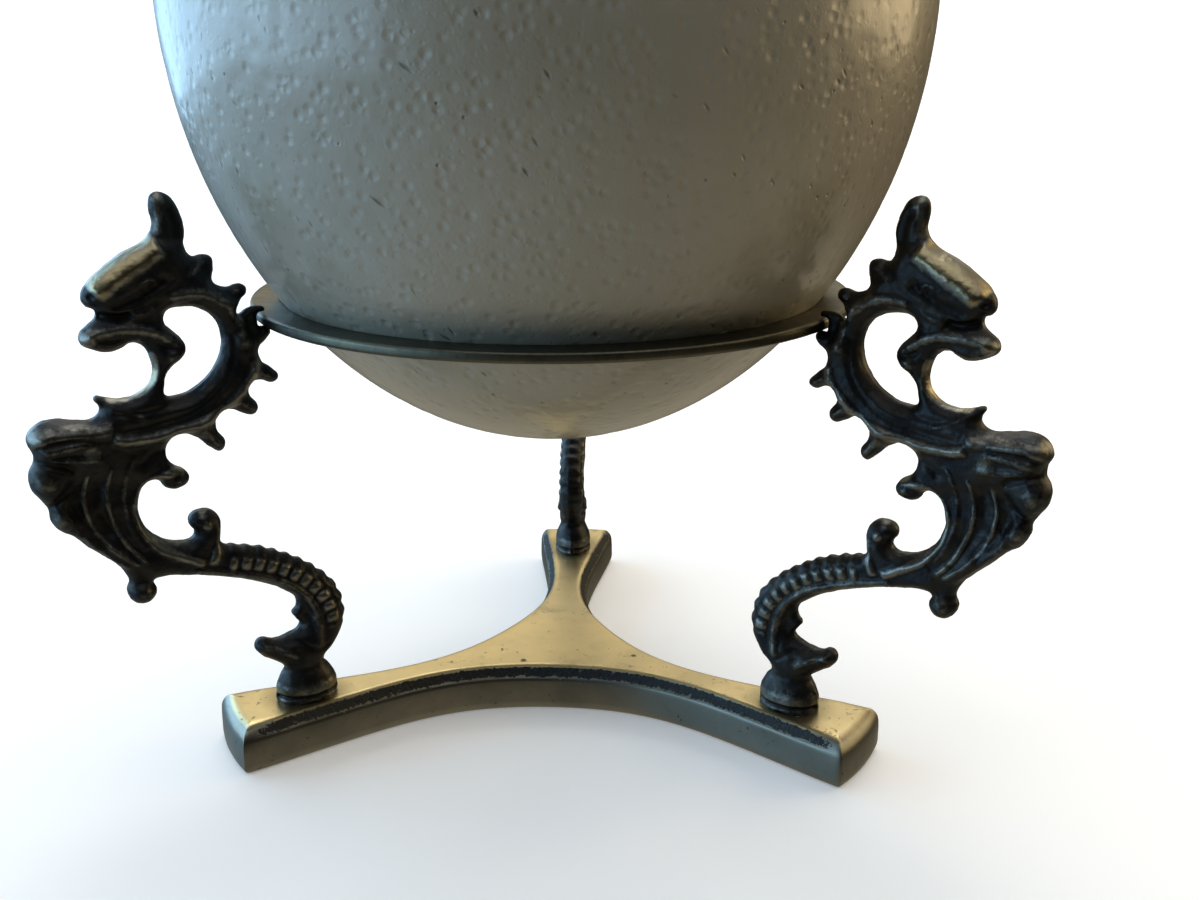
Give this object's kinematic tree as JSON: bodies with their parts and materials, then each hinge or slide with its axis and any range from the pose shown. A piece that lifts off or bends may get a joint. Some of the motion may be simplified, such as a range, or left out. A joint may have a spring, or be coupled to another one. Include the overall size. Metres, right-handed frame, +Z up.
{
  "type": "ostrich egg on a stand",
  "caption": "Pitted ivory ostrich egg standing upright in a brass ring, held by cast dragon legs on a hollow-sided brass base.",
  "frame": {"origin": "on the flat underside of the base plate, on the stand's axis, level with the surface that it stands on", "axes": "+Z up along the egg's long axis, +Y along the arm that carries the rear leg, +X to the right seen from the front"},
  "size_m": [0.1576, 0.1533, 0.199],
  "materials": {
    "eggshell": "ivory ostrich shell, glossy and finely pitted",
    "aged_brass": "aged, greenish gold, satin",
    "dark_brass": "near-black patina worn to brass on the high spots",
    "polished_brass": "polished gold top, satin sides, dark patina left under the top edge",
    "screw_steel": "plain machine screw, slightly dulled"
  },
  "bodies": {
    "root": {"egg": "eggshell", "ring": "aged_brass", "leg_rear": "dark_brass", "leg_front_left": "dark_brass", "leg_front_right": "dark_brass", "base_plate": "polished_brass", "screw_rear": "screw_steel", "screw_front_left": "screw_steel", "screw_front_right": "screw_steel"}
  },
  "joints": []
}
